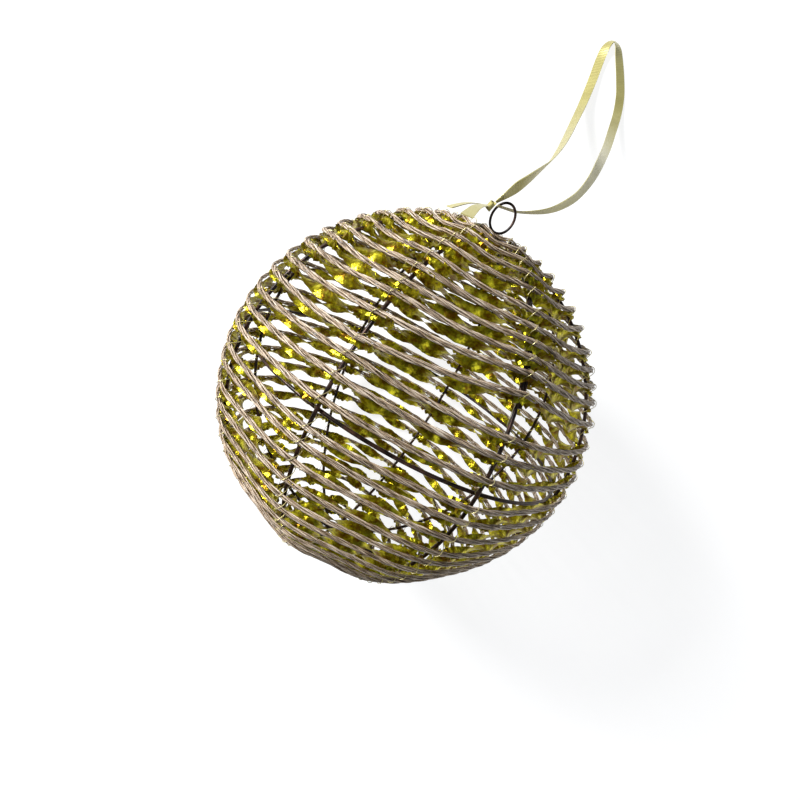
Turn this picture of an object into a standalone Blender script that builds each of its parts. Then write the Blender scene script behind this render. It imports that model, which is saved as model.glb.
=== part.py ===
# A wire Christmas bauble, lying loose with its hanging ribbon beside it.
# Eight steel ribs and an equator hoop make a round cage, open inside. A flattened paper cord
# and a gold foil strip are wound round the cage from one pole to the other, the foil under the
# cord. An oval wire ring stands at the upper pole, and a ribbon is looped through it and knotted.
# Metres, +Z up. The origin is the middle of the small flat spot on which the ball lies.

import math
import random

import bmesh
import bpy
from mathutils import Vector

MM = 0.001

# Air left between pieces that touch
GAP = 0.3 * MM

# The cage
WIRE = 0.9 * MM
RIB_RADIUS = 48 * MM
RIB_LONGITUDES = [math.radians(angle) for angle in (-56, -17, 28.5, 75, 121.5, 165.5, 210.5, 258.5)]
RIB_TIP = 1.9 * MM
RIB_SEGMENTS = 14
HOOP_RADIUS = RIB_RADIUS - WIRE - GAP
HOOP_SEGMENTS = 32

# The foil strip lies on the ribs, and the cord lies on the foil
FOIL_WIDTH = 3.0 * MM
FOIL_DEPTH = 0.2 * MM
FOIL_RADIUS = RIB_RADIUS + WIRE / 2 + GAP + FOIL_DEPTH / 2
FOIL_DROP = FOIL_WIDTH / 2 / FOIL_RADIUS
CORD_WIDTH = 1.3 * MM
CORD_DEPTH = 1.1 * MM
CORD_RADIUS = FOIL_RADIUS + FOIL_DEPTH / 2 + GAP + CORD_DEPTH / 2
BALL_RADIUS = CORD_RADIUS + CORD_DEPTH / 2

# How the ball lies: the line through its poles leans up from the floor, and the lowest turn of
# the cord is pressed flat
POLE_TILT = math.radians(15.4)
SETTLE = 0.7 * MM
CENTRE = Vector((0, 0, BALL_RADIUS - SETTLE))
POLE = Vector((0, math.cos(POLE_TILT), math.sin(POLE_TILT)))
FRONT = Vector((0, -math.sin(POLE_TILT), math.cos(POLE_TILT)))
SIDE = Vector((1, 0, 0))

# The winding rises one pitch a turn. The floor turn crosses the ball's lowest point.
TURNS = 29
PITCH = math.radians(5.7)
FLOOR_TURN = 11
TURNS_IN_LENGTH = 3
STEPS_BETWEEN_RIBS = 3
STEPS_ON_FLOOR = 6
BACK_RIBS = (5, 6)

# Wound by hand: degrees by which the cord slipped along four of the ribs, turn by turn from the
# first turn given, and the small wander that it has everywhere else
SLIPS = {
    0: (14, (-0.7, 0.0, 0.2, -0.5, 0.0, -0.3, 0.1, 0.4, -0.9)),
    1: (10, (-0.7, -0.3, 0.4, 0.1, -1.4, 0.6, 1.3, 1.0, -0.4, 1.2, 1.6, -0.2, 0.0)),
    2: (11, (-1.0, -0.6, -0.5, -1.9, 0.3, 0.8, 0.0, 5.2, 4.7, 3.0, 1.3, -0.4, -1.5)),
    3: (15, (1.0, 0.0, -0.5, 0.6, 0.9, 0.0, -1.0, -1.5, 0.0)),
}
WANDER = 0.4
WANDER_SEED = 12

# The hanging ring stands on the rib tips
RING_WIRE = 0.8 * MM
RING_HALF_WIDTH = 2.9 * MM
RING_HALF_HEIGHT = 3.9 * MM
RING_SEGMENTS = 20
RING_HEIGHT = RIB_RADIUS + WIRE / 2 + GAP + RING_WIRE / 2 + RING_HALF_HEIGHT

# The ribbon. Its route is hand-set: x, y and z in millimetres, then how far its width is
# turned up from level, in degrees, and its width in millimetres where it is gathered.
RIBBON_WIDTH = 3.4
RIBBON_DEPTH = 0.25 * MM
RIBBON_SPACING = 5.5 * MM
RIBBON_ROUTE = (
    (-3.4, 53.1, 65.8, 100, 1.6),
    (-2.3, 55.1, 66.3, 112, 2.4),
    (-0.7, 59.0, 65.1, 122, RIBBON_WIDTH),
    (0.9, 62.9, 63.5, 112, RIBBON_WIDTH),
    (2.8, 69.0, 59.4, 92, RIBBON_WIDTH),
    (4.0, 74.4, 54.4, 78, RIBBON_WIDTH),
    (4.9, 84.4, 43.2, 66, RIBBON_WIDTH),
    (5.4, 97.0, 27.5, 55, RIBBON_WIDTH),
    (5.6, 109.2, 13.5, 46, RIBBON_WIDTH),
    (5.4, 123.0, 4.0, 34, RIBBON_WIDTH),
    (4.4, 134.1, 1.3, 22, RIBBON_WIDTH),
    (3.2, 142.4, 1.1, 18, RIBBON_WIDTH),
    (2.9, 147.2, 1.5, 36, RIBBON_WIDTH),
    (4.1, 149.9, 1.8, 50, RIBBON_WIDTH),
    (6.5, 149.3, 1.6, 36, RIBBON_WIDTH),
    (9.0, 146.0, 1.2, 20, RIBBON_WIDTH),
    (12.5, 140.7, 0.9, 12, RIBBON_WIDTH),
    (16.0, 134.4, 0.9, 8, RIBBON_WIDTH),
    (18.2, 127.4, 2.0, 6, RIBBON_WIDTH),
    (19.2, 118.1, 6.6, 6, RIBBON_WIDTH),
    (19.4, 106.2, 16.4, 12, RIBBON_WIDTH),
    (18.1, 90.2, 33.5, 28, RIBBON_WIDTH),
    (16.6, 78.5, 46.2, 46, RIBBON_WIDTH),
    (14.7, 69.6, 54.3, 60, RIBBON_WIDTH),
    (12.2, 63.6, 59.0, 70, RIBBON_WIDTH),
    (9.4, 59.5, 61.4, 80, 3.0),
    (6.3, 56.9, 62.3, 86, 2.4),
    (2.6, 54.9, 62.4, 90, 1.6),
    (0.0, 53.6, 64.3, 90, 1.6),
    (-2.7, 52.5, 65.8, 90, 1.5),
)
KNOT_CENTRE = Vector((-4.2, 51.9, 65.4)) * MM
KNOT_RADIUS = 1.25 * MM
TAIL_ROUTES = {
    "ribbon_tail_1": ((-5.8, 51.3, 65.6), (-9.3, 49.2, 67.0), (-12.8, 45.6, 68.4)),
    "ribbon_tail_2": ((-5.2, 51.0, 66.8), (-6.7, 48.2, 70.6), (-7.6, 43.4, 75.4)),
}
TAIL_WIDTHS = (1.2 * MM, 2.4 * MM, 3.4 * MM)
TAIL_STEPS = 5

# Cross-sections, as shares of a strip's width and depth: the cord is a flattened square, and
# the foil has a crease along its inner side
FLAT_SECTION = ((-0.5, -0.5), (0.5, -0.5), (0.5, 0.5), (-0.5, 0.5))
CREASED_SECTION = ((0, -0.5), (0.5, 0.5), (-0.5, 0.5))


def new_material(name, colour, roughness, metallic):
    material = bpy.data.materials.new(name)
    material.use_nodes = True
    shader = material.node_tree.nodes["Principled BSDF"]
    shader.inputs["Base Color"].default_value = (*colour, 1)
    shader.inputs["Roughness"].default_value = roughness
    shader.inputs["Metallic"].default_value = metallic
    return material


def add_object(name, data, material):
    data.materials.append(material)
    item = bpy.data.objects.new(name, data)
    bpy.context.scene.collection.objects.link(item)
    return item


def outward(longitude, latitude):
    """The direction from the ball's centre to a place on it."""
    level = math.cos(latitude)
    around = SIDE * math.sin(longitude) + FRONT * math.cos(longitude)
    return POLE * math.sin(latitude) + around * level


def on_ball(radius, longitude, latitude):
    return CENTRE + outward(longitude, latitude) * radius


def onward(longitude):
    """The way the winding runs where it crosses a longitude."""
    return SIDE * math.cos(longitude) - FRONT * math.sin(longitude)


def round_wire(name, points, thickness, closed, material):
    """A round wire through the points, given straight between them."""
    curve = bpy.data.curves.new(name, "CURVE")
    curve.dimensions = "3D"
    curve.fill_mode = "FULL"
    curve.bevel_depth = thickness / 2
    curve.bevel_resolution = 1
    curve.use_fill_caps = not closed
    spline = curve.splines.new("POLY")
    spline.points.add(len(points) - 1)
    for place, point in zip(spline.points, points):
        place.co = (*point, 1)
    spline.use_cyclic_u = closed
    spline.use_smooth = True
    return add_object(name, curve, material)


def directions(points):
    """The way a route runs at each of its points."""
    last = len(points) - 1
    spans = [points[min(i + 1, last)] - points[max(i - 1, 0)] for i in range(last + 1)]
    return [span.normalized() for span in spans]


def swept_strip(name, points, alongs, outs, widths, depth, section, material):
    """A closed strip of the given section along the points, its outer side facing outs."""
    mesh = bmesh.new()
    rings = []
    for index, point in enumerate(points):
        across = alongs[index].cross(outs[index]).normalized()
        out = across.cross(alongs[index])
        corners = []
        for side, rise in section:
            place = point + across * side * widths[index] + out * rise * depth
            place.z = max(place.z, 0)
            corners.append(mesh.verts.new(place))
        rings.append(corners)
    count = len(section)
    for near, far in zip(rings, rings[1:]):
        for corner in range(count):
            following = (corner + 1) % count
            mesh.faces.new((near[corner], near[following], far[following], far[corner]))
    mesh.faces.new(rings[0])
    mesh.faces.new(rings[-1])
    bmesh.ops.recalc_face_normals(mesh, faces=mesh.faces)
    data = bpy.data.meshes.new(name)
    mesh.to_mesh(data)
    mesh.free()
    data.shade_smooth()
    data.set_sharp_from_angle(angle=math.radians(40))
    return add_object(name, data, material)


def winding_latitude(longitude):
    """The latitude of an even winding, at a longitude counted on from turn to turn."""
    lowest = math.tau * FLOOR_TURN + math.pi
    return -POLE_TILT + PITCH * (longitude - lowest) / math.tau


def slip(turn, rib, wander):
    """How far the cord stands off the even winding where it crosses a rib, in radians."""
    first, degrees = SLIPS.get(rib, (0, ()))
    if 0 <= turn - first < len(degrees):
        return math.radians(degrees[turn - first])
    if rib in BACK_RIBS and abs(turn - FLOOR_TURN) <= 2:
        return 0
    return math.radians(wander)


def rib_crossings():
    """Where the winding crosses the ribs: longitude and latitude, from the lower pole up."""
    chance = random.Random(WANDER_SEED)
    crossings = []
    for turn in range(TURNS):
        for rib, angle in enumerate(RIB_LONGITUDES):
            longitude = math.tau * turn + angle
            shift = slip(turn, rib, chance.uniform(-WANDER, WANDER))
            crossings.append((longitude, winding_latitude(longitude) + shift))
    return crossings


def steps_after(index, latitude):
    """Into how many straight steps the winding is cut after a crossing."""
    turn, rib = divmod(index, len(RIB_LONGITUDES))
    if rib == BACK_RIBS[0] and abs(turn - FLOOR_TURN) <= 1:
        return STEPS_ON_FLOOR
    if math.cos(latitude) > 0.83:
        return STEPS_BETWEEN_RIBS
    return 2 if math.cos(latitude) > 0.35 else 1


def winding_path(crossings, first, last):
    """Longitudes and latitudes along the winding, from one crossing to another."""
    path = []
    for index in range(first, last):
        start, end = crossings[index], crossings[index + 1]
        steps = steps_after(index, start[1])
        for step in range(steps):
            share = step / steps
            longitude = start[0] + (end[0] - start[0]) * share
            latitude = start[1] + (end[1] - start[1]) * share
            path.append((longitude, latitude))
    path.append(crossings[last])
    return path


def make_ribs(material):
    """Half hoops from pole to pole, whose ends stop just short of each other."""
    tip = math.asin(RIB_TIP / RIB_RADIUS)
    for number, longitude in enumerate(RIB_LONGITUDES, 1):
        points = []
        for step in range(RIB_SEGMENTS + 1):
            latitude = (step / RIB_SEGMENTS - 0.5) * (math.pi - 2 * tip)
            points.append(on_ball(RIB_RADIUS, longitude, latitude))
        round_wire(f"rib_{number}", points, WIRE, False, material)


def make_hoop(material):
    """The hoop round the middle, inside the ribs."""
    turns = [math.tau * step / HOOP_SEGMENTS for step in range(HOOP_SEGMENTS)]
    points = [on_ball(HOOP_RADIUS, longitude, 0) for longitude in turns]
    round_wire("equator_hoop", points, WIRE, True, material)


def make_ring(material):
    """The oval hanging ring, standing on the upper pole."""
    centre = CENTRE + POLE * RING_HEIGHT
    points = []
    for step in range(RING_SEGMENTS):
        turn = math.tau * step / RING_SEGMENTS
        wide = SIDE * math.cos(turn) * RING_HALF_WIDTH
        high = POLE * math.sin(turn) * RING_HALF_HEIGHT
        points.append(centre + wide + high)
    round_wire("hanging_ring", points, RING_WIRE, True, material)


def make_cord(crossings, material):
    """The paper cord, in lengths of a few turns that follow on from each other."""
    crossings_in_length = TURNS_IN_LENGTH * len(RIB_LONGITUDES)
    last = len(crossings) - 1
    for number, first in enumerate(range(0, last, crossings_in_length), 1):
        end = min(first + crossings_in_length, last)
        path = winding_path(crossings, first, end)
        half_gap = GAP / 2 / (CORD_RADIUS * math.cos(path[0][1]))
        path[0] = (path[0][0] + half_gap, path[0][1])
        half_gap = GAP / 2 / (CORD_RADIUS * math.cos(path[-1][1]))
        path[-1] = (path[-1][0] - half_gap, path[-1][1])
        points = [on_ball(CORD_RADIUS, *place) for place in path]
        alongs = [onward(longitude) for longitude, latitude in path]
        outs = [outward(*place) for place in path]
        widths = [CORD_WIDTH] * len(path)
        name = f"winding_cord_{number:02d}"
        swept_strip(name, points, alongs, outs, widths, CORD_DEPTH, FLAT_SECTION, material)


def make_foil(crossings, material):
    """The foil strip, in one length, on the lower pole's side of the cord."""
    path = winding_path(crossings, 0, len(crossings) - 1)
    path = [(longitude, latitude - FOIL_DROP) for longitude, latitude in path]
    points = [on_ball(FOIL_RADIUS, *place) for place in path]
    alongs = [onward(longitude) for longitude, latitude in path]
    outs = [outward(*place) for place in path]
    widths = [FOIL_WIDTH] * len(path)
    swept_strip("foil_strip", points, alongs, outs, widths, FOIL_DEPTH, CREASED_SECTION, material)


def smooth_between(rows, position):
    """A value of each column on a smooth curve through the rows, at a place counted in rows."""
    index = min(int(position), len(rows) - 2)
    share = position - index
    before = rows[max(index - 1, 0)]
    start, end = rows[index], rows[index + 1]
    after = rows[min(index + 2, len(rows) - 1)]
    values = []
    for a, b, c, d in zip(before, start, end, after):
        bend = 2 * a - 5 * b + 4 * c - d
        turn = 3 * (b - c) + d - a
        values.append(b + 0.5 * share * (c - a + share * (bend + share * turn)))
    return values


def ribbon_stations():
    """Places along the ribbon about one spacing apart, on a smooth curve through its route."""
    stations = []
    for index in range(len(RIBBON_ROUTE) - 1):
        start = Vector(RIBBON_ROUTE[index][:3])
        end = Vector(RIBBON_ROUTE[index + 1][:3])
        steps = max(1, round((end - start).length * MM / RIBBON_SPACING))
        for step in range(steps):
            stations.append(smooth_between(RIBBON_ROUTE, index + step / steps))
    stations.append(RIBBON_ROUTE[-1])
    return stations


def make_ribbon(material):
    """The hanging loop: one flat ribbon from the knot out and back through the ring."""
    stations = ribbon_stations()
    points = [Vector(station[:3]) * MM for station in stations]
    widths = [station[4] * MM for station in stations]
    alongs = directions(points)
    outs = []
    for along, station in zip(alongs, stations):
        level = along.cross(Vector((0, 0, 1))).normalized()
        upright = level.cross(along)
        lean = math.radians(station[3])
        outs.append(upright * math.cos(lean) - level * math.sin(lean))
    swept_strip("ribbon_loop", points, alongs, outs, widths, RIBBON_DEPTH, FLAT_SECTION, material)


def make_knot(material):
    """The knot that closes the loop, a rounded lump beside the ring."""
    mesh = bmesh.new()
    bmesh.ops.create_icosphere(mesh, subdivisions=2, radius=KNOT_RADIUS)
    data = bpy.data.meshes.new("ribbon_knot")
    mesh.to_mesh(data)
    mesh.free()
    data.shade_smooth()
    knot = add_object("ribbon_knot", data, material)
    knot.location = KNOT_CENTRE


def make_tails(material):
    """The ribbon's two ends, which leave the knot and lie down on the winding."""
    for name, route in TAIL_ROUTES.items():
        rows = [(*place, width) for place, width in zip(route, TAIL_WIDTHS)]
        places = [(len(rows) - 1) * step / TAIL_STEPS for step in range(TAIL_STEPS + 1)]
        stations = [smooth_between(rows, place) for place in places]
        points = [Vector(station[:3]) * MM for station in stations]
        alongs = directions(points)
        outs = [(point - CENTRE).normalized() for point in points]
        widths = [station[3] for station in stations]
        swept_strip(name, points, alongs, outs, widths, RIBBON_DEPTH, FLAT_SECTION, material)


def make_bauble():
    for item in list(bpy.data.objects):
        bpy.data.objects.remove(item)
    wire = new_material("dark oxidised steel wire", (0.03, 0.018, 0.014), 0.4, 1)
    paper = new_material("champagne paper cord", (0.42, 0.34, 0.22), 0.75, 0)
    foil = new_material("gold foil", (0.72, 0.66, 0.08), 0.25, 1)
    satin = new_material("gold satin ribbon", (0.46, 0.42, 0.16), 0.5, 0)
    crossings = rib_crossings()
    make_ribs(wire)
    make_hoop(wire)
    make_ring(wire)
    make_cord(crossings, paper)
    make_foil(crossings, foil)
    make_ribbon(satin)
    make_knot(satin)
    make_tails(satin)


make_bauble()
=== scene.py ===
import math
import random

import bpy
from mathutils import Matrix, Vector


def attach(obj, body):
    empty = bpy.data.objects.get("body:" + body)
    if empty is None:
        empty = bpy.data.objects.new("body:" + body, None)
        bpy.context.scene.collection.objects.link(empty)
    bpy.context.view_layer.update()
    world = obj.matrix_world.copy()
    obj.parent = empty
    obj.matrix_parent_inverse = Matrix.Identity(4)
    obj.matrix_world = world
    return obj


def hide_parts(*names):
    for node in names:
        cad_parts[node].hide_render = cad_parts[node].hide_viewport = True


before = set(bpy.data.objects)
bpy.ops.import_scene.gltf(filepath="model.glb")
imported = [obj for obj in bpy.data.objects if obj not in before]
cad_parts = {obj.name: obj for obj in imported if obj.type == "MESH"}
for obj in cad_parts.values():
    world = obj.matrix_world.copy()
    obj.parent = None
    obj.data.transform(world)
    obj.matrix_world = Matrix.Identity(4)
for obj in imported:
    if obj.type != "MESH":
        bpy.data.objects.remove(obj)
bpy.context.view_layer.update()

MM = 0.001

# The camera
# It looks straight down on the lying ball from close above it, so that the near side looks
# larger than the far side, and is turned so that the hanging ring is at the upper right.

CAMERA_HEIGHT = 204 * MM
CAMERA_TURN = math.radians(28.87)
SENSOR = 36.0
FOCAL_PIXELS = 552.9
PICTURE_PIXELS = 800
OPTICAL_CENTRE = (405.3, 394.9)

camera_data = bpy.data.cameras.new("camera")
camera_data.sensor_width = SENSOR
camera_data.lens = FOCAL_PIXELS / PICTURE_PIXELS * SENSOR
camera_data.shift_x = 0.5 - OPTICAL_CENTRE[0] / PICTURE_PIXELS
camera_data.shift_y = OPTICAL_CENTRE[1] / PICTURE_PIXELS - 0.5
camera_data.clip_start = 5 * MM
camera = bpy.data.objects.new("camera", camera_data)
camera.location = (0, 0, CAMERA_HEIGHT)
camera.rotation_euler = (0, 0, CAMERA_TURN)
bpy.context.scene.collection.objects.link(camera)
bpy.context.scene.camera = camera

# The hanging ribbon
# A narrow woven satin ribbon in dull gold, with firmer edges. It is looped through the wire
# ring and knotted, its loop falls down the side of the ball onto the floor, and its two cut
# ends lie down on the winding.

RIBBON_WIDTH = 3.4 * MM
RIBBON_THICKNESS = 0.25 * MM
RIBBON_STEP = 0.9 * MM
# x, y and z in millimetres, then how far the width is turned up from level, in degrees, and
# the share of the full width where the ribbon is gathered
RIBBON_ROUTE = (
    (-3.4, 53.1, 65.8, 100, 0.47),
    (-2.3, 55.1, 66.3, 112, 0.7),
    (-0.7, 59.0, 65.1, 122, 1),
    (0.9, 62.9, 63.5, 112, 1),
    (2.8, 69.0, 59.4, 92, 1),
    (4.0, 74.4, 54.4, 78, 1),
    (4.9, 84.4, 43.2, 66, 1),
    (5.4, 97.0, 27.5, 55, 1),
    (5.6, 109.2, 13.5, 46, 1),
    (5.4, 123.0, 4.0, 34, 1),
    (4.4, 134.1, 1.3, 22, 1),
    (3.2, 142.4, 1.1, 18, 1),
    (2.9, 147.2, 1.5, 36, 1),
    (4.1, 149.9, 1.8, 50, 1),
    (6.5, 149.3, 1.6, 36, 1),
    (9.0, 146.0, 1.2, 20, 1),
    (12.5, 140.7, 0.9, 12, 1),
    (16.0, 134.4, 0.9, 8, 1),
    (18.2, 127.4, 2.0, 6, 1),
    (19.2, 118.1, 6.6, 6, 1),
    (19.4, 106.2, 16.4, 12, 1),
    (18.1, 90.2, 33.5, 28, 1),
    (16.6, 78.5, 46.2, 46, 1),
    (14.7, 69.6, 54.3, 60, 1),
    (12.2, 63.6, 59.0, 70, 1),
    (9.4, 59.5, 61.4, 80, 0.88),
    (6.3, 56.9, 62.3, 86, 0.7),
    (2.6, 54.9, 62.4, 90, 0.47),
    (0.0, 53.6, 64.3, 90, 0.47),
    (-2.7, 52.5, 65.8, 90, 0.44),
)
KNOT_CENTRE = Vector((-4.2, 51.9, 65.4)) * MM
TAIL_ROUTES = (
    ((-5.2, 51.5, 65.6), (-9.3, 49.2, 67.0), (-12.8, 45.6, 68.4)),
    ((-4.9, 51.2, 66.4), (-6.7, 48.2, 70.6), (-7.6, 43.4, 75.4)),
)
TAIL_WIDTHS = (0.4, 0.7, 1)
TAIL_STEPS = 24
KNOT_TURNS = 2


def add_node(tree, kind, inputs=None, **settings):
    """Adds a node to a tree, with its settings, and sets or links its inputs."""
    node = tree.nodes.new(kind)
    for setting, value in settings.items():
        setattr(node, setting, value)
    for key, value in (inputs or {}).items():
        if isinstance(value, bpy.types.NodeSocket):
            tree.links.new(value, node.inputs[key])
        else:
            node.inputs[key].default_value = value
    return node


def linear(hex_colour):
    """A colour given as sRGB hex, as the linear values that a shader takes."""
    values = []
    for place in (0, 2, 4):
        share = int(hex_colour[place:place + 2], 16) / 255
        values.append(share / 12.92 if share <= 0.04045 else ((share + 0.055) / 1.055) ** 2.4)
    return (*values, 1)


def new_material(name):
    """A material with its node tree, its shader and its texture place, ready for more nodes."""
    material = bpy.data.materials.new(name)
    material.use_nodes = True
    tree = material.node_tree
    return material, tree, tree.nodes["Principled BSDF"]


def new_tree(name, inputs):
    """A Geometry Nodes tree with a shape in, a shape out and the named inputs."""
    tree = bpy.data.node_groups.new(name, "GeometryNodeTree")
    tree.interface.new_socket("Shape", in_out="OUTPUT", socket_type="NodeSocketGeometry")
    tree.interface.new_socket("Path", in_out="INPUT", socket_type="NodeSocketGeometry")
    for label, kind in inputs.items():
        tree.interface.new_socket(label, in_out="INPUT", socket_type="NodeSocket" + kind)
    return tree, add_node(tree, "NodeGroupInput").outputs


def end_tree(tree, shape, material):
    """Closes a tree: what it made is realised and gets its material."""
    real = add_node(tree, "GeometryNodeRealizeInstances", {"Geometry": shape})
    done = add_node(tree, "GeometryNodeSetMaterial", {0: real.outputs[0], "Material": material})
    add_node(tree, "NodeGroupOutput", {"Shape": done.outputs[0]})


def path_mesh(name, paths, closed=False):
    """Paths as a mesh of edges. Each path is a dict of equally long lists: place, and facing,
    twist and width where the piece needs them."""
    mesh = bpy.data.meshes.new(name)
    places = [place for path in paths for place in path["place"]]
    edges = []
    start = 0
    for path in paths:
        count = len(path["place"])
        edges += [(start + i, start + i + 1) for i in range(count - 1)]
        if closed:
            edges.append((start + count - 1, start))
        start += count
    mesh.from_pydata(places, edges, [])
    for key in paths[0]:
        if key == "place":
            continue
        values = [value for path in paths for value in path[key]]
        if key == "facing":
            attribute = mesh.attributes.new(key, "FLOAT_VECTOR", "POINT")
            attribute.data.foreach_set("vector", [part for value in values for part in value])
        else:
            attribute = mesh.attributes.new(key, "FLOAT", "POINT")
            attribute.data.foreach_set("value", values)
    return mesh


def make_piece(name, mesh, tree, values, sharp=None):
    """Runs a tree on a mesh of paths, and keeps the result as a plain mesh on the part."""
    start = bpy.data.objects.new(name + " path", mesh)
    bpy.context.scene.collection.objects.link(start)
    modifier = start.modifiers.new(tree.name, "NODES")
    modifier.node_group = tree
    for item in tree.interface.items_tree:
        if item.in_out == "INPUT" and item.name in values:
            modifier[item.identifier] = values[item.name]
    depsgraph = bpy.context.evaluated_depsgraph_get()
    result = bpy.data.meshes.new_from_object(start.evaluated_get(depsgraph))
    result.name = name
    bpy.data.objects.remove(start)
    result.shade_smooth()
    if sharp is not None:
        result.set_sharp_from_angle(angle=math.radians(sharp))
    piece = bpy.data.objects.new(name, result)
    bpy.context.scene.collection.objects.link(piece)
    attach(piece, "root")
    return piece


def smooth_between(rows, position):
    """A value of each column on a smooth curve through the rows, at a place counted in rows."""
    index = min(int(position), len(rows) - 2)
    share = position - index
    before = rows[max(index - 1, 0)]
    start, end = rows[index], rows[index + 1]
    after = rows[min(index + 2, len(rows) - 1)]
    values = []
    for a, b, c, d in zip(before, start, end, after):
        bend = 2 * a - 5 * b + 4 * c - d
        turn = 3 * (b - c) + d - a
        values.append(b + 0.5 * share * (c - a + share * (bend + share * turn)))
    return values


def directions(points):
    """The way a route runs at each of its points."""
    last = len(points) - 1
    spans = [points[min(i + 1, last)] - points[max(i - 1, 0)] for i in range(last + 1)]
    return [span.normalized() for span in spans]


def rest_on_floor(tree, shape):
    """Presses flat what would reach below the floor."""
    parts = add_node(tree, "ShaderNodeSeparateXYZ",
                     {0: add_node(tree, "GeometryNodeInputPosition").outputs[0]})
    lifted = add_node(tree, "ShaderNodeMath", {0: parts.outputs["Z"], 1: 0.0},
                      operation="MAXIMUM")
    place = add_node(tree, "ShaderNodeCombineXYZ",
                     {"X": parts.outputs["X"], "Y": parts.outputs["Y"],
                      "Z": lifted.outputs[0]})
    return add_node(tree, "GeometryNodeSetPosition",
                    {"Geometry": shape, "Position": place.outputs[0]}).outputs[0]


def strip_tree(name, crumple):
    """A thin flat strip swept along its path. The path's own facing, twist and width turn and
    narrow it. With crumple, a noise dents it."""
    inputs = {"Width": "Float", "Thickness": "Float", "Across": "Int", "Material": "Material"}
    if crumple:
        inputs.update({"Dent Depth": "Float", "Dent Size": "Float", "Seed": "Float"})
    tree, given = new_tree(name, inputs)
    curve = add_node(tree, "GeometryNodeMeshToCurve", {0: given["Path"]})
    facing = add_node(tree, "GeometryNodeInputNamedAttribute", {"Name": "facing"},
                      data_type="FLOAT_VECTOR")
    turned = add_node(tree, "GeometryNodeSetCurveNormal",
                      {"Curve": curve.outputs[0], "Normal": facing.outputs[0]}, mode="FREE")
    twist = add_node(tree, "GeometryNodeInputNamedAttribute", {"Name": "twist"},
                     data_type="FLOAT")
    tilted = add_node(tree, "GeometryNodeSetCurveTilt",
                      {"Curve": turned.outputs[0], "Tilt": twist.outputs[0]})
    along = add_node(tree, "GeometryNodeSplineParameter")
    marked = add_node(tree, "GeometryNodeStoreNamedAttribute",
                      {"Geometry": tilted.outputs[0], "Name": "along",
                       "Value": along.outputs["Length"]}, data_type="FLOAT", domain="POINT")
    corners = add_node(tree, "ShaderNodeMath", {0: given["Across"], 1: 2.0},
                       operation="MULTIPLY")
    circle = add_node(tree, "GeometryNodeCurvePrimitiveCircle",
                      {"Resolution": corners.outputs[0], "Radius": 1.0})
    half_step = add_node(tree, "ShaderNodeMath", {0: math.pi, 1: corners.outputs[0]},
                         operation="DIVIDE")
    spin = add_node(tree, "ShaderNodeCombineXYZ", {"Z": half_step.outputs[0]})
    spun = add_node(tree, "GeometryNodeTransform",
                    {"Geometry": circle.outputs[0], "Rotation": spin.outputs[0]})
    spot = add_node(tree, "ShaderNodeSeparateXYZ",
                    {0: add_node(tree, "GeometryNodeInputPosition").outputs[0]})
    side = add_node(tree, "ShaderNodeMath", {0: spot.outputs["Y"]}, operation="SIGN")
    thick = add_node(tree, "ShaderNodeMath", {0: side.outputs[0], 1: given["Thickness"]},
                     operation="MULTIPLY")
    half_thick = add_node(tree, "ShaderNodeMath", {0: thick.outputs[0], 1: 0.5},
                          operation="MULTIPLY")
    wide = add_node(tree, "ShaderNodeMath", {0: spot.outputs["X"], 1: given["Width"]},
                    operation="MULTIPLY")
    half_wide = add_node(tree, "ShaderNodeMath", {0: wide.outputs[0], 1: 0.5},
                         operation="MULTIPLY")
    flat = add_node(tree, "ShaderNodeCombineXYZ",
                    {"X": half_thick.outputs[0], "Y": half_wide.outputs[0]})
    profile = add_node(tree, "GeometryNodeSetPosition",
                       {"Geometry": spun.outputs[0], "Position": flat.outputs[0]})
    across = add_node(tree, "GeometryNodeStoreNamedAttribute",
                      {"Geometry": profile.outputs[0], "Name": "across",
                       "Value": spot.outputs["X"]}, data_type="FLOAT", domain="POINT")
    width = add_node(tree, "GeometryNodeInputNamedAttribute", {"Name": "width"},
                     data_type="FLOAT")
    swept = add_node(tree, "GeometryNodeCurveToMesh",
                     {"Curve": marked.outputs[0], "Profile Curve": across.outputs[0],
                      "Scale": width.outputs[0], "Fill Caps": True})
    shape = swept.outputs[0]
    if crumple:
        frequency = add_node(tree, "ShaderNodeMath", {0: 1.0, 1: given["Dent Size"]},
                             operation="DIVIDE")
        noise = add_node(tree, "ShaderNodeTexNoise",
                         {"Scale": frequency.outputs[0], "W": given["Seed"], "Detail": 2.0},
                         noise_dimensions="4D")
        centred = add_node(tree, "ShaderNodeVectorMath",
                           {0: noise.outputs["Color"], 1: (0.5, 0.5, 0.5)},
                           operation="SUBTRACT")
        dent = add_node(tree, "ShaderNodeVectorMath",
                        {0: centred.outputs[0], "Scale": given["Dent Depth"]},
                        operation="SCALE")
        dented = add_node(tree, "GeometryNodeSetPosition",
                          {"Geometry": shape, "Offset": dent.outputs[0]})
        shape = dented.outputs[0]
    end_tree(tree, rest_on_floor(tree, shape), given["Material"])
    return tree


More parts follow.
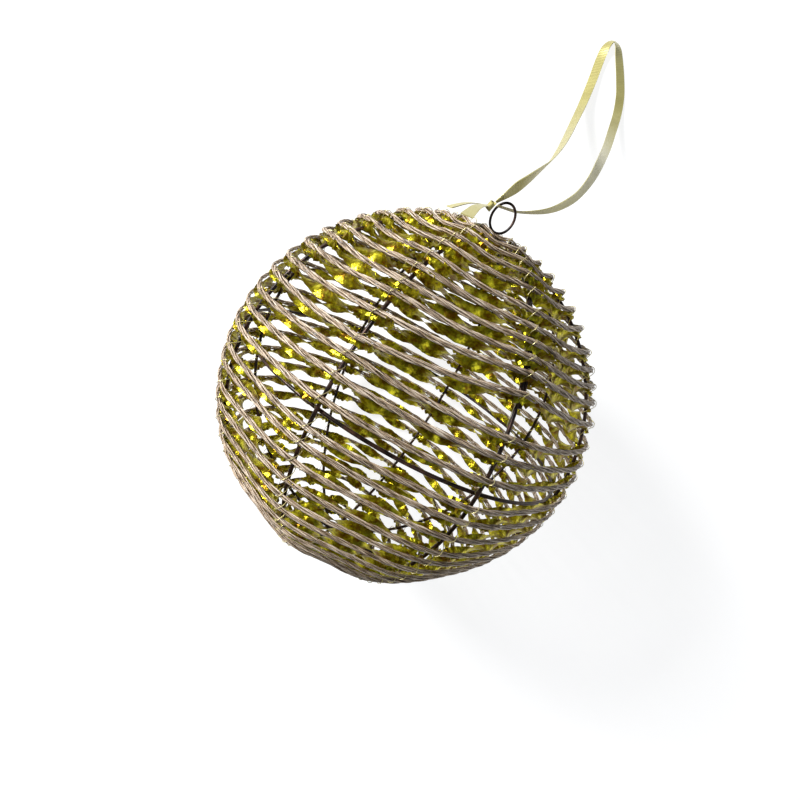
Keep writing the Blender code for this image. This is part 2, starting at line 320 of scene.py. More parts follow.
# Woven rayon satin: thread spacing about a quarter of a millimetre, drawn a little coarser to
# show; it shines along the threads and has darker, firmer selvedges
ribbon_material, ribbon_nodes, ribbon_shader = new_material("woven gold satin")
across = add_node(ribbon_nodes, "ShaderNodeAttribute", attribute_name="across")
along = add_node(ribbon_nodes, "ShaderNodeAttribute", attribute_name="along")
edge = add_node(ribbon_nodes, "ShaderNodeMath", {0: across.outputs["Fac"]},
                operation="ABSOLUTE")
selvedge = add_node(ribbon_nodes, "ShaderNodeMapRange",
                    {0: edge.outputs[0], 1: 0.62, 2: 0.78, 3: 0.0, 4: 1.0})
weft = add_node(ribbon_nodes, "ShaderNodeMath",
                {0: along.outputs["Fac"], 1: math.tau / (0.6 * MM)}, operation="MULTIPLY")
pick = add_node(ribbon_nodes, "ShaderNodeMath", {0: weft.outputs[0]}, operation="SINE")
dots = add_node(ribbon_nodes, "ShaderNodeMath",
                {0: pick.outputs[0], 1: selvedge.outputs[0]}, operation="MULTIPLY")
grain_place = add_node(ribbon_nodes, "ShaderNodeCombineXYZ",
                       {"X": across.outputs["Fac"], "Y": along.outputs["Fac"]})
grain_scaled = add_node(ribbon_nodes, "ShaderNodeMapping",
                        {0: grain_place.outputs[0], "Scale": (14.0, 160.0, 1.0)})
grain = add_node(ribbon_nodes, "ShaderNodeTexNoise",
                 {"Vector": grain_scaled.outputs[0], "Scale": 1.0, "Detail": 3.0})
face = add_node(ribbon_nodes, "ShaderNodeMix",
                {"Factor": grain.outputs["Fac"], 6: linear("9C9150"), 7: linear("C9C078")},
                data_type="RGBA")
toned = add_node(ribbon_nodes, "ShaderNodeMix",
                 {"Factor": selvedge.outputs[0], 6: face.outputs[2], 7: linear("7E7638")},
                 data_type="RGBA")
spotted = add_node(ribbon_nodes, "ShaderNodeMix",
                   {"Factor": dots.outputs[0], 6: toned.outputs[2], 7: linear("C6BC70")},
                   data_type="RGBA")
weave = add_node(ribbon_nodes, "ShaderNodeBump",
                 {"Height": pick.outputs[0], "Strength": 0.35, "Distance": 0.05 * MM})
ribbon_nodes.links.new(spotted.outputs[2], ribbon_shader.inputs["Base Color"])
ribbon_nodes.links.new(weave.outputs[0], ribbon_shader.inputs["Normal"])
ribbon_shader.inputs["Roughness"].default_value = 0.42
ribbon_shader.inputs["Metallic"].default_value = 0.25
ribbon_shader.inputs["Sheen Weight"].default_value = 0.3

ribbon_tree = strip_tree("flat ribbon", crumple=False)


def ribbon_path(route):
    """A smooth path along the ribbon's route, with the way the ribbon faces on it."""
    stations = []
    for index in range(len(route) - 1):
        start, end = Vector(route[index][:3]), Vector(route[index + 1][:3])
        steps = max(2, round((end - start).length * MM / RIBBON_STEP))
        stations += [smooth_between(route, index + step / steps) for step in range(steps)]
    stations.append(route[-1])
    points = [Vector(station[:3]) * MM for station in stations]
    facing = []
    for way, station in zip(directions(points), stations):
        level = way.cross(Vector((0, 0, 1))).normalized()
        lean = math.radians(station[3])
        facing.append(level.cross(way) * math.cos(lean) - level * math.sin(lean))
    widths = [station[4] for station in stations]
    return {"place": points, "facing": facing, "twist": [0.0] * len(points), "width": widths}


ribbon_run = ribbon_path(RIBBON_ROUTE)
ribbon_values = {"Width": RIBBON_WIDTH, "Thickness": RIBBON_THICKNESS, "Across": 5,
                 "Material": ribbon_material}
ribbon = make_piece("ribbon_loop_satin", path_mesh("ribbon", [ribbon_run]), ribbon_tree,
                    ribbon_values, sharp=50)
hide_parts("ribbon_loop")


def tail_path(route):
    """A cut end of the ribbon, which widens out of the knot and lies down on the winding."""
    rows = [(*place, width) for place, width in zip(route, TAIL_WIDTHS)]
    places = [(len(rows) - 1) * step / TAIL_STEPS for step in range(TAIL_STEPS + 1)]
    stations = [smooth_between(rows, place) for place in places]
    points = [Vector(station[:3]) * MM for station in stations]
    facing = [(point - BALL_CENTRE).normalized() for point in points]
    widths = [station[3] for station in stations]
    return {"place": points, "facing": facing, "twist": [0.0] * len(points), "width": widths}


BALL_CENTRE = Vector((0, 0, 49.65)) * MM

for number, route in enumerate(TAIL_ROUTES, 1):
    tail = make_piece(f"ribbon_tail_{number}_satin", path_mesh("tail", [tail_path(route)]),
                      ribbon_tree, ribbon_values, sharp=50)
    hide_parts(f"ribbon_tail_{number}")


def knot_path():
    """The knot: the narrowed ribbon wound on itself about the way it is pulled."""
    points = []
    facing = []
    pull = Vector((0.25, 0.85, 0.45)).normalized()
    side = pull.cross(Vector((0, 0, 1))).normalized()
    rise = side.cross(pull)
    steps = KNOT_TURNS * 14
    for step in range(steps + 1):
        turn = math.tau * step / 14
        out = side * math.cos(turn) + rise * math.sin(turn)
        slide = (step / steps - 0.5) * 1.3 * MM
        points.append(KNOT_CENTRE + out * 0.75 * MM + pull * slide)
        facing.append(out)
    count = len(points)
    widths = [0.42] * count
    return {"place": points, "facing": facing, "twist": [0.0] * count, "width": widths}


knot_values = {**ribbon_values, "Thickness": 0.4 * MM}
knot = make_piece("ribbon_knot_satin", path_mesh("knot", [knot_path()]), ribbon_tree,
                  knot_values, sharp=50)
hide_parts("ribbon_knot")

# The ribs
# Eight half hoops of dark, oil-blackened steel wire from pole to pole, spot-welded where they
# cross. One hoop's ends lie side by side along the upper part of a rib, which looks thicker.

WIRE = 0.9 * MM
RIB_RADIUS = 48 * MM
RIB_DEGREES = (-56, -17, 28.5, 75, 121.5, 165.5, 210.5, 258.5)
RIB_LONGITUDES = [math.radians(angle) for angle in RIB_DEGREES]
RIB_STEPS = 72
LAPPED_RIB = 2
LAP_FROM = math.radians(24)
POLE_TILT = math.radians(15.4)
POLE = Vector((0, math.cos(POLE_TILT), math.sin(POLE_TILT)))
FRONT = Vector((0, -math.sin(POLE_TILT), math.cos(POLE_TILT)))
SIDE = Vector((1, 0, 0))


def outward(longitude, latitude):
    """The direction from the ball's centre to a place on it."""
    around = SIDE * math.sin(longitude) + FRONT * math.cos(longitude)
    return POLE * math.sin(latitude) + around * math.cos(latitude)


def on_ball(radius, longitude, latitude):
    return BALL_CENTRE + outward(longitude, latitude) * radius


def wire_tree(name):
    """A round wire along each path. Width scales its thickness."""
    tree, given = new_tree(name, {"Thickness": "Float", "Sides": "Int", "Dent Depth": "Float",
                                  "Dent Size": "Float", "Material": "Material"})
    curve = add_node(tree, "GeometryNodeMeshToCurve", {0: given["Path"]})
    along = add_node(tree, "GeometryNodeSplineParameter")
    marked = add_node(tree, "GeometryNodeStoreNamedAttribute",
                      {"Geometry": curve.outputs[0], "Name": "along",
                       "Value": along.outputs["Length"]}, data_type="FLOAT", domain="POINT")
    radius = add_node(tree, "ShaderNodeMath", {0: given["Thickness"], 1: 0.5},
                      operation="MULTIPLY")
    circle = add_node(tree, "GeometryNodeCurvePrimitiveCircle",
                      {"Resolution": given["Sides"], "Radius": radius.outputs[0]})
    width = add_node(tree, "GeometryNodeInputNamedAttribute", {"Name": "width"},
                     data_type="FLOAT")
    swept = add_node(tree, "GeometryNodeCurveToMesh",
                     {"Curve": marked.outputs[0], "Profile Curve": circle.outputs[0],
                      "Scale": width.outputs[0], "Fill Caps": True})
    frequency = add_node(tree, "ShaderNodeMath", {0: 1.0, 1: given["Dent Size"]},
                         operation="DIVIDE")
    noise = add_node(tree, "ShaderNodeTexNoise", {"Scale": frequency.outputs[0]})
    centred = add_node(tree, "ShaderNodeVectorMath",
                       {0: noise.outputs["Color"], 1: (0.5, 0.5, 0.5)}, operation="SUBTRACT")
    dent = add_node(tree, "ShaderNodeVectorMath",
                    {0: centred.outputs[0], "Scale": given["Dent Depth"]}, operation="SCALE")
    dented = add_node(tree, "GeometryNodeSetPosition",
                      {"Geometry": swept.outputs[0], "Offset": dent.outputs[0]})
    end_tree(tree, dented.outputs[0], given["Material"])
    return tree


# Black-annealed steel wire: an almost black oxide skin, thin and glossy enough for a clear
# line of light, with brown rust where the skin is thin
wire_material, wire_nodes, wire_shader = new_material("black annealed steel wire")
wire_place = add_node(wire_nodes, "ShaderNodeTexCoord")
wire_rust = add_node(wire_nodes, "ShaderNodeTexNoise",
                     {"Vector": wire_place.outputs["Object"], "Scale": 1 / (2.5 * MM),
                      "Detail": 4.0, "Roughness": 0.65})
wire_colour = add_node(wire_nodes, "ShaderNodeValToRGB", {0: wire_rust.outputs["Fac"]})
wire_colour.color_ramp.elements[0].position = 0.42
wire_colour.color_ramp.elements[0].color = linear("1C1412")
wire_colour.color_ramp.elements[1].position = 0.72
wire_colour.color_ramp.elements[1].color = linear("5A3E30")
wire_bump = add_node(wire_nodes, "ShaderNodeBump",
                     {"Height": wire_rust.outputs["Fac"], "Strength": 0.4,
                      "Distance": 0.05 * MM})
wire_nodes.links.new(wire_colour.outputs[0], wire_shader.inputs["Base Color"])
wire_nodes.links.new(wire_bump.outputs[0], wire_shader.inputs["Normal"])
wire_shader.inputs["Roughness"].default_value = 0.34
wire_shader.inputs["Metallic"].default_value = 0.6

round_wire = wire_tree("round wire")
wire_values = {"Thickness": WIRE, "Sides": 10, "Dent Depth": 0.06 * MM, "Dent Size": 4 * MM,
               "Material": wire_material}


def rib_path(longitude, low, high):
    """A rib, or a length of one, between two latitudes."""
    steps = max(8, round(RIB_STEPS * (high - low) / math.pi))
    latitudes = [low + (high - low) * step / steps for step in range(steps + 1)]
    points = [on_ball(RIB_RADIUS, longitude, latitude) for latitude in latitudes]
    return {"place": points, "width": [1.0] * len(points)}


rib_paths = [rib_path(longitude, -math.pi / 2, math.pi / 2) for longitude in RIB_LONGITUDES]
lap_path = rib_path(RIB_LONGITUDES[LAPPED_RIB] + 1.0 * MM / RIB_RADIUS, LAP_FROM,
                    math.radians(84))
ribs = make_piece("cage_ribs", path_mesh("ribs", [*rib_paths, lap_path]), round_wire,
                  wire_values)
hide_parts(*(f"rib_{number}" for number in range(1, 9)))

# The equator hoop
# A hoop of the same wire inside the ribs, a little out of true, spot-welded to each rib. The
# welds are not drawn.

HOOP_RADIUS = 46.8 * MM
HOOP_STEPS = 160
HOOP_LEAN = math.radians(1.6)
HOOP_HIGH_AT = math.radians(-60)
WELD_SIZE = 1.15 * MM

hoop_turns = [math.tau * step / HOOP_STEPS for step in range(HOOP_STEPS)]
hoop_points = [on_ball(HOOP_RADIUS, turn, HOOP_LEAN * math.cos(turn - HOOP_HIGH_AT))
               for turn in hoop_turns]
hoop = make_piece("equator_hoop_wire",
                  path_mesh("hoop", [{"place": hoop_points, "width": [1.0] * HOOP_STEPS}],
                            closed=True), round_wire, wire_values)
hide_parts("equator_hoop")

# The hanging ring
# An oval ring of thinner blackened wire, standing on the upper pole, with the ribbon through it.

RING_WIRE = 0.8 * MM
RING_HALF_WIDTH = 2.9 * MM
RING_HALF_HEIGHT = 3.9 * MM
RING_HEIGHT = RIB_RADIUS + WIRE / 2 + 0.3 * MM + RING_WIRE / 2 + RING_HALF_HEIGHT
RING_STEPS = 64

ring_centre = BALL_CENTRE + POLE * RING_HEIGHT
ring_points = []
for step in range(RING_STEPS):
    turn = math.tau * step / RING_STEPS
    wide = SIDE * math.cos(turn) * RING_HALF_WIDTH
    high = POLE * math.sin(turn) * RING_HALF_HEIGHT
    ring_points.append(ring_centre + wide + high)
ring = make_piece("hanging_ring_wire",
                  path_mesh("ring", [{"place": ring_points, "width": [1.0] * RING_STEPS}],
                            closed=True), round_wire,
                  {**wire_values, "Thickness": 0.68 * MM, "Sides": 12, "Dent Depth": 0.0})
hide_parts("hanging_ring")

# The paper cord
# Four plies of twisted paper, pressed flat, wound round the ribs in one length from pole to
# pole. It runs nearly straight from rib to rib and was laid by hand, so its turns are uneven.

TURNS = 29
PITCH = math.radians(5.7)
FLOOR_TURN = 11
CORD_RADIUS = 49.72 * MM
CORD_DIP = 0.9 * MM
CORD_STEP = 1.5 * MM
PLIES = 4
PLY_WIDTH = 0.56 * MM
PLY_OFFSET = 0.45 * MM
PLY_TWIST = 22.0 * MM
WANDER = 0.4
WANDER_SEED = 12
# Degrees by which the cord slipped along four of the ribs, from the first turn given
SLIPS = {
    0: (14, (-0.7, 0.0, 0.2, -0.5, 0.0, -0.3, 0.1, 0.4, -0.9)),
    1: (10, (-0.7, -0.3, 0.4, 0.1, -1.4, 0.6, 1.3, 1.0, -0.4, 1.2, 1.6, -0.2, 0.0)),
    2: (11, (-1.0, -0.6, -0.5, -1.9, 0.3, 0.8, 0.0, 5.2, 4.7, 3.0, 1.3, -0.4, -1.5)),
    3: (15, (1.0, 0.0, -0.5, 0.6, 0.9, 0.0, -1.0, -1.5, 0.0)),
}
BACK_RIBS = (5, 6)


def winding_latitude(longitude):
    """The latitude of an even winding, at a longitude counted on from turn to turn."""
    lowest = math.tau * FLOOR_TURN + math.pi
    return -POLE_TILT + PITCH * (longitude - lowest) / math.tau


def slip(turn, rib, wander):
    """How far the cord stands off the even winding where it crosses a rib, in radians."""
    first, degrees = SLIPS.get(rib, (0, ()))
    if 0 <= turn - first < len(degrees):
        return math.radians(degrees[turn - first])
    if rib in BACK_RIBS and abs(turn - FLOOR_TURN) <= 2:
        return 0
    return math.radians(wander)


def rib_crossings():
    """Where the winding crosses the ribs: longitude and latitude, from the lower pole up."""
    chance = random.Random(WANDER_SEED)
    crossings = []
    for turn in range(TURNS):
        for rib, angle in enumerate(RIB_LONGITUDES):
            longitude = math.tau * turn + angle
            shift = slip(turn, rib, chance.uniform(-WANDER, WANDER))
            crossings.append((longitude, winding_latitude(longitude) + shift))
    return crossings


crossings = rib_crossings()


def on_floor(index):
    """Whether the length after a crossing is one of those that rest on the floor."""
    turn, rib = divmod(index, len(RIB_LONGITUDES))
    return rib == BACK_RIBS[0] and abs(turn - FLOOR_TURN) <= 2


def cord_path():
    """The cord's line over the ribs, sagging inwards a little between them."""
    path = {"place": [], "facing": [], "twist": [], "width": []}
    run = 0.0
    for index in range(len(crossings) - 1):
        (from_lon, from_lat), (to_lon, to_lat) = crossings[index], crossings[index + 1]
        length = CORD_RADIUS * math.cos(from_lat) * (to_lon - from_lon)
        steps = max(4, round(length / CORD_STEP))
        dip = 0 if on_floor(index) else CORD_DIP
        for step in range(steps):
            share = step / steps
            longitude = from_lon + (to_lon - from_lon) * share
            latitude = from_lat + (to_lat - from_lat) * share
            radius = CORD_RADIUS - dip * math.sin(math.pi * share) ** 2
            path["place"].append(on_ball(radius, longitude, latitude))
            path["facing"].append(outward(longitude, latitude))
            path["twist"].append(math.tau * (run + length * share) / PLY_TWIST)
            path["width"].append(1.0)
        run += length
    return path


def cord_tree(name):
    """Plies twisted round each other along the path, then pressed flat against the ball and
    against the floor."""
    tree, given = new_tree(name, {"Ply Width": "Float", "Ply Offset": "Float",
                                  "Sides": "Int", "Flatness": "Float",
                                  "Centre": "Vector", "Waver": "Float", "Waver Size": "Float",
                                  "Seed": "Float", "Material": "Material"})
    curve = add_node(tree, "GeometryNodeMeshToCurve", {0: given["Path"]})
    facing = add_node(tree, "GeometryNodeInputNamedAttribute", {"Name": "facing"},
                      data_type="FLOAT_VECTOR")
    turned = add_node(tree, "GeometryNodeSetCurveNormal",
                      {"Curve": curve.outputs[0], "Normal": facing.outputs[0]}, mode="FREE")
    twist = add_node(tree, "GeometryNodeInputNamedAttribute", {"Name": "twist"},
                     data_type="FLOAT")
    tilted = add_node(tree, "GeometryNodeSetCurveTilt",
                      {"Curve": turned.outputs[0], "Tilt": twist.outputs[0]})
    along = add_node(tree, "GeometryNodeSplineParameter")
    marked = add_node(tree, "GeometryNodeStoreNamedAttribute",
                      {"Geometry": tilted.outputs[0], "Name": "along",
                       "Value": along.outputs["Length"]}, data_type="FLOAT", domain="POINT")
    place = add_node(tree, "GeometryNodeInputPosition")
    from_centre = add_node(tree, "ShaderNodeVectorMath",
                           {0: place.outputs[0], 1: given["Centre"]}, operation="SUBTRACT")
    height = add_node(tree, "ShaderNodeVectorMath", {0: from_centre.outputs[0]},
                      operation="LENGTH")
    kept = add_node(tree, "GeometryNodeStoreNamedAttribute",
                    {"Geometry": marked.outputs[0], "Name": "core",
                     "Value": height.outputs["Value"]}, data_type="FLOAT", domain="POINT")
    radius = add_node(tree, "ShaderNodeMath", {0: given["Ply Width"], 1: 0.5},
                      operation="MULTIPLY")
    circle = add_node(tree, "GeometryNodeCurvePrimitiveCircle",
                      {"Resolution": given["Sides"], "Radius": radius.outputs[0]})
    apart = add_node(tree, "ShaderNodeCombineXYZ", {"Y": given["Ply Offset"]})
    moved_out = add_node(tree, "GeometryNodeTransform",
                         {"Geometry": circle.outputs[0], "Translation": apart.outputs[0]})
    plies = add_node(tree, "GeometryNodeJoinGeometry")
    for number in range(PLIES):
        spun = add_node(tree, "GeometryNodeTransform",
                        {"Geometry": moved_out.outputs[0],
                         "Rotation": (0, 0, math.tau * number / PLIES)})
        tree.links.new(spun.outputs[0], plies.inputs[0])
    spot = add_node(tree, "GeometryNodeStoreNamedAttribute",
                    {"Geometry": plies.outputs[0], "Name": "spot", "Value": place.outputs[0]},
                    data_type="FLOAT_VECTOR", domain="POINT")
    swept = add_node(tree, "GeometryNodeCurveToMesh",
                     {"Curve": kept.outputs[0], "Profile Curve": spot.outputs[0],
                      "Scale": 1.0, "Fill Caps": True})
    core = add_node(tree, "GeometryNodeInputNamedAttribute", {"Name": "core"},
                    data_type="FLOAT")
    above = add_node(tree, "ShaderNodeMath", {0: height.outputs["Value"], 1: core.outputs[0]},
                     operation="SUBTRACT")
    pressed = add_node(tree, "ShaderNodeMath", {0: above.outputs[0], 1: given["Flatness"]},
                       operation="MULTIPLY")
    moved = add_node(tree, "ShaderNodeMath", {0: core.outputs[0], 1: pressed.outputs[0]},
                     operation="ADD")
    way = add_node(tree, "ShaderNodeVectorMath", {0: from_centre.outputs[0]},
                   operation="NORMALIZE")
    new_place = add_node(tree, "ShaderNodeVectorMath",
                         {0: way.outputs[0], "Scale": moved.outputs[0]}, operation="SCALE")
    placed = add_node(tree, "ShaderNodeVectorMath",
                      {0: new_place.outputs[0], 1: given["Centre"]}, operation="ADD")
    flat = add_node(tree, "GeometryNodeSetPosition",
                    {"Geometry": swept.outputs[0], "Position": placed.outputs[0]})
    frequency = add_node(tree, "ShaderNodeMath", {0: 1.0, 1: given["Waver Size"]},
                         operation="DIVIDE")
    noise = add_node(tree, "ShaderNodeTexNoise",
                     {"Scale": frequency.outputs[0], "W": given["Seed"], "Detail": 3.0},
                     noise_dimensions="4D")
    centred = add_node(tree, "ShaderNodeVectorMath",
                       {0: noise.outputs["Color"], 1: (0.5, 0.5, 0.5)}, operation="SUBTRACT")
    waver = add_node(tree, "ShaderNodeVectorMath",
                     {0: centred.outputs[0], "Scale": given["Waver"]}, operation="SCALE")
    wavered = add_node(tree, "GeometryNodeSetPosition",
                       {"Geometry": flat.outputs[0], "Offset": waver.outputs[0]})
    end_tree(tree, rest_on_floor(tree, wavered.outputs[0]), given["Material"])
    return tree


# Twisted kraft paper cord: long fine paper fibre running with the twist, dull with a slight
# sheen.
# A noise paints random lengthwise streaks from near-black brown through tan to pale cream: the
# paper's own fibre tone, with painted shade in the darkest streaks for the creases and painted
# highlight in the palest streaks for the bulges
cord_material, cord_nodes, cord_shader = new_material("twisted paper cord")
spot = add_node(cord_nodes, "ShaderNodeAttribute", attribute_name="spot")
along = add_node(cord_nodes, "ShaderNodeAttribute", attribute_name="along")
spot_parts = add_node(cord_nodes, "ShaderNodeSeparateXYZ", {0: spot.outputs["Vector"]})
fibre_place = add_node(cord_nodes, "ShaderNodeCombineXYZ",
                       {"X": spot_parts.outputs["X"], "Y": spot_parts.outputs["Y"],
                        "Z": along.outputs["Fac"]})
fibre_scaled = add_node(cord_nodes, "ShaderNodeMapping",
                        {0: fibre_place.outputs[0],
                         "Scale": (1 / (0.16 * MM), 1 / (0.16 * MM), 1 / (4 * MM))})
fibre_streaks_and_painted_shade = add_node(cord_nodes, "ShaderNodeTexNoise",
                  {"Vector": fibre_scaled.outputs[0], "Scale": 1.0, "Detail": 3.0,
                   "Roughness": 0.6, "Distortion": 0.3})
# Painted shade and highlight: the ramp's near-black end paints crease shade and its pale cream
# end paints highlight on the bulges, over the tan of the paper
cord_colour_with_painted_light = add_node(cord_nodes, "ShaderNodeValToRGB", {0: fibre_streaks_and_painted_shade.outputs["Fac"]})
cord_colour_with_painted_light.color_ramp.elements[0].position = 0.40
cord_colour_with_painted_light.color_ramp.elements[0].color = linear("2E1F10")
cord_colour_with_painted_light.color_ramp.elements[1].position = 0.60
cord_colour_with_painted_light.color_ramp.elements[1].color = linear("E8D8C4")
middle = cord_colour_with_painted_light.color_ramp.elements.new(0.5)
middle.color = linear("A88C6C")
cord_bump = add_node(cord_nodes, "ShaderNodeBump",
                     {"Height": fibre_streaks_and_painted_shade.outputs["Fac"], "Strength": 0.8, "Distance": 0.12 * MM})
cord_nodes.links.new(cord_colour_with_painted_light.outputs[0], cord_shader.inputs["Base Color"])
cord_nodes.links.new(cord_bump.outputs[0], cord_shader.inputs["Normal"])
cord_shader.inputs["Roughness"].default_value = 0.5

cord = make_piece("winding_cord", path_mesh("cord", [cord_path()]), cord_tree("twisted cord"),
                  {"Ply Width": PLY_WIDTH, "Ply Offset": PLY_OFFSET, "Sides": 5, "Flatness": 0.7,
                   "Centre": BALL_CENTRE, "Waver": 0.35 * MM, "Waver Size": 2.2 * MM,
                   "Seed": 3.0, "Material": cord_material})
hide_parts(*(f"winding_cord_{number:02d}" for number in range(1, 11)))

# The gold foil
# A narrow strip of thin gold foil laid in with the cord. It is pressed flat at each rib and
# twists over between them, so it looks like a chain of small leaves, creased and crumpled.

FOIL_WIDTH = 3.2 * MM
FOIL_THICKNESS = 0.07 * MM
FOIL_STEP = 0.58 * MM
FOIL_RADIUS = 48.85 * MM
FOIL_DIP = 2.0 * MM
FOIL_DROP_AT_RIB = 0.8 * MM
FOIL_DROP = 1.1 * MM
LEAF_LENGTH = 12.5 * MM
LEAF_LEAD = 0.35
PINCH = 0.4
PINCH_REACH = 1.3 * MM
PLEAT = math.radians(38)
PLEAT_PITCH = 1.9 * MM
PLEAT_REACH = 5.5 * MM
FOIL_SEED = 7


def foil_path():
    """The foil's line, on the lower pole's side of the cord. It turns over once a leaf."""
    chance = random.Random(FOIL_SEED)
    path = {"place": [], "facing": [], "twist": [], "width": []}
    turned = 0.0
    run = 0.0
    for index in range(len(crossings) - 1):
        (from_lon, from_lat), (to_lon, to_lat) = crossings[index], crossings[index + 1]
        length = FOIL_RADIUS * math.cos(from_lat) * (to_lon - from_lon)
        steps = max(4, round(length / FOIL_STEP))
        dip = 0 if on_floor(index) else FOIL_DIP
        leaves = max(1, round(length / LEAF_LENGTH + chance.uniform(-0.3, 0.3)))
        drop = FOIL_DROP + chance.uniform(-0.3, 0.3) * MM
        bulk = chance.uniform(0.85, 1.1)
        for step in range(steps):
            share = step / steps
            swell = math.sin(math.pi * share)
            fall = FOIL_DROP_AT_RIB + (drop - FOIL_DROP_AT_RIB) * swell
            longitude = from_lon + (to_lon - from_lon) * share
            latitude = from_lat + (to_lat - from_lat) * share - fall / FOIL_RADIUS
            radius = FOIL_RADIUS - dip * swell ** 2
            from_rib = length * min(share, 1 - share)
            pinch = PINCH * math.exp(-(from_rib / PINCH_REACH) ** 2)
            path["place"].append(on_ball(radius, longitude, latitude))
            path["facing"].append(outward(longitude, latitude))
            phase = (run + length * share) / PLEAT_PITCH % 1
            pleat = PLEAT * (4 * abs(phase - 0.5) - 1) * math.exp(-(from_rib / PLEAT_REACH) ** 2)
            path["twist"].append(turned + math.pi * leaves * share + LEAF_LEAD + pleat)
            path["width"].append(bulk * (1 - pinch))
        turned += math.pi * leaves
        run += length
    return path


# Gold-lacquered aluminium foil with fine crinkles from handling. Its base colour is painted in
# random patches of dark brown-gold, olive and bright lemon: painted reflections and painted
# shade, standing in for the light the foil catches and mirrors
foil_material, foil_nodes, foil_shader = new_material("crinkled gold foil")
foil_place = add_node(foil_nodes, "ShaderNodeTexCoord")
crinkles = add_node(foil_nodes, "ShaderNodeTexVoronoi",
                    {"Vector": foil_place.outputs["Object"], "Scale": 1 / (0.8 * MM)},
                    feature="F1")
fine = add_node(foil_nodes, "ShaderNodeTexNoise",
                {"Vector": foil_place.outputs["Object"], "Scale": 1 / (0.5 * MM),
                 "Detail": 3.0})
height = add_node(foil_nodes, "ShaderNodeMath",
                  {0: crinkles.outputs["Distance"], 1: fine.outputs["Fac"]}, operation="ADD")
foil_bump = add_node(foil_nodes, "ShaderNodeBump",
                     {"Height": height.outputs[0], "Strength": 0.5, "Distance": 0.15 * MM})
# Painted reflections and shade: this noise lays random patches of dark brown-gold, olive and
# lemon into the foil's base colour
foil_reflection_patches = add_node(foil_nodes, "ShaderNodeTexNoise",
                     {"Vector": foil_place.outputs["Object"], "Scale": 1 / (2.2 * MM),
                      "Detail": 4.0, "Roughness": 0.7})
foil_painted_reflection_colour = add_node(foil_nodes, "ShaderNodeValToRGB", {0: foil_reflection_patches.outputs["Fac"]})
foil_painted_reflection_colour.color_ramp.elements[0].position = 0.38
foil_painted_reflection_colour.color_ramp.elements[0].color = linear("7A5606")
foil_painted_reflection_colour.color_ramp.elements[1].position = 0.64
foil_painted_reflection_colour.color_ramp.elements[1].color = linear("E4DA30")
foil_painted_olive_stop = foil_painted_reflection_colour.color_ramp.elements.new(0.5)
foil_painted_olive_stop.color = linear("9C9012")
foil_nodes.links.new(foil_painted_reflection_colour.outputs[0], foil_shader.inputs["Base Color"])
foil_nodes.links.new(foil_bump.outputs[0], foil_shader.inputs["Normal"])
foil_shader.inputs["Metallic"].default_value = 0.85
foil_shader.inputs["Roughness"].default_value = 0.28

foil = make_piece("foil_leaves", path_mesh("foil", [foil_path()]),
                  strip_tree("twisting foil", crumple=True),
                  {"Width": FOIL_WIDTH, "Thickness": FOIL_THICKNESS, "Across": 4,
                   "Dent Depth": 0.6 * MM, "Dent Size": 1.3 * MM, "Seed": 5.0,
                   "Material": foil_material}, sharp=20)
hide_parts("foil_strip")

# The binding threads
# One fine pale gold metallic thread to a rib. It is wound up the rib and over every turn of
# the cord, and holds the turns in place.

THREAD = 0.18 * MM
THREAD_SEED = 21


def thread_path(rib):
    """The thread's line: over each crossing, and round behind the rib to the next."""
    chance = random.Random(THREAD_SEED + rib)
    longitude = RIB_LONGITUDES[rib]
    places = []
    for turn in range(TURNS):
        latitude = crossings[turn * len(RIB_LONGITUDES) + rib][1]
        level = max(math.cos(latitude), 0.15)
        side = chance.uniform(0.5, 1.1) * MM
        rise = chance.uniform(1.0, 1.5) * MM
        stations = (
            (-side, -rise, 48.9 * MM),
            (-side * 0.5, -rise * 0.45, 50.2 * MM),
            (0, 0, 50.45 * MM),
            (side * 0.5, rise * 0.45, 50.2 * MM),
            (side, rise, 48.9 * MM),
            (side * 0.6, rise * 1.5, 47.4 * MM),
            (-side * 0.3, rise * 1.9, 47.3 * MM),
        )
        for across, up, radius in stations:
            east = across / (radius * level)
            places.append(on_ball(radius, longitude + east, latitude + up / radius))
    rows = [tuple(place) for place in places]
    points = [Vector(smooth_between(rows, step / 2)) for step in range(2 * len(rows) - 2)]
    return {"place": points, "width": [1.0] * len(points)}


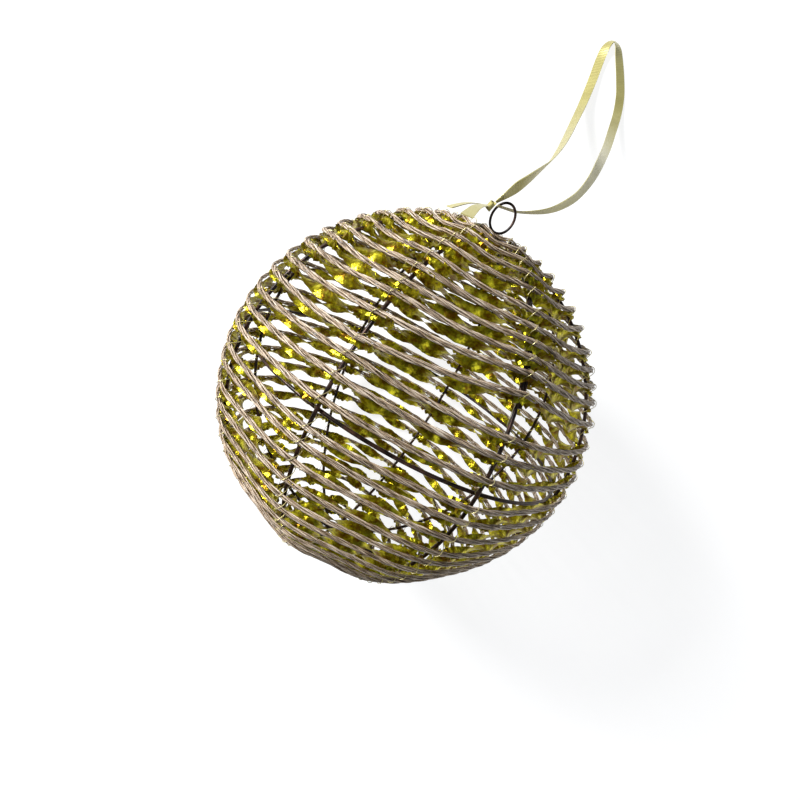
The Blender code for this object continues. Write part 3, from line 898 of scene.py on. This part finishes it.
# Metallised polyester yarn: a flat, bright, pale gold
thread_material, thread_nodes, thread_shader = new_material("pale gold metallic thread")
thread_place = add_node(thread_nodes, "ShaderNodeTexCoord")
thread_tone = add_node(thread_nodes, "ShaderNodeTexNoise",
                       {"Vector": thread_place.outputs["Object"], "Scale": 1 / (1.5 * MM)})
thread_colour = add_node(thread_nodes, "ShaderNodeMix",
                         {"Factor": thread_tone.outputs["Fac"], 6: linear("B9A860"),
                          7: linear("EFE6B0")}, data_type="RGBA")
thread_nodes.links.new(thread_colour.outputs[2], thread_shader.inputs["Base Color"])
thread_shader.inputs["Metallic"].default_value = 0.6
thread_shader.inputs["Roughness"].default_value = 0.35

threads = make_piece("binding_threads",
                     path_mesh("threads", [thread_path(rib) for rib in range(8)]), round_wire,
                     {"Thickness": THREAD, "Sides": 4, "Dent Depth": 0.0, "Dent Size": 1 * MM,
                      "Material": thread_material})

# The floor and the light
# A plain white floor, and soft light from the upper left of the picture.

floor_mesh = bpy.data.meshes.new("floor")
reach = 3.0
floor_mesh.from_pydata([(-reach, -reach, 0), (reach, -reach, 0), (reach, reach, 0),
                        (-reach, reach, 0)], [], [(0, 1, 2, 3)])
floor_material, floor_nodes, floor_shader = new_material("white paper floor")
floor_shader.inputs["Base Color"].default_value = (0.25, 0.25, 0.25, 1)
floor_shader.inputs["Roughness"].default_value = 0.9
floor_shader.inputs["Emission Color"].default_value = (1, 1, 1, 1)
floor_shader.inputs["Emission Strength"].default_value = 0.85
floor_mesh.materials.append(floor_material)
floor = bpy.data.objects.new("floor", floor_mesh)
bpy.context.scene.collection.objects.link(floor)

world = bpy.data.worlds.new("studio")
world.use_nodes = True
world.node_tree.nodes["Background"].inputs["Color"].default_value = (0.62, 0.78, 1.0, 1)
world.node_tree.nodes["Background"].inputs["Strength"].default_value = 0.15
bpy.context.scene.world = world


def add_light(name, place, size, power):
    """A square soft light that faces the ball."""
    data = bpy.data.lights.new(name, "AREA")
    data.size = size
    data.energy = power
    light = bpy.data.objects.new(name, data)
    light.location = place
    aim = BALL_CENTRE - Vector(place)
    light.rotation_euler = aim.to_track_quat("-Z", "Y").to_euler()
    bpy.context.scene.collection.objects.link(light)


add_light("key light", (-0.71, 0.21, 0.57), 0.25, 14)
add_light("fill light", (0.5, -0.2, 0.9), 0.6, 1.2)
bpy.context.scene.view_settings.view_transform = "Standard"
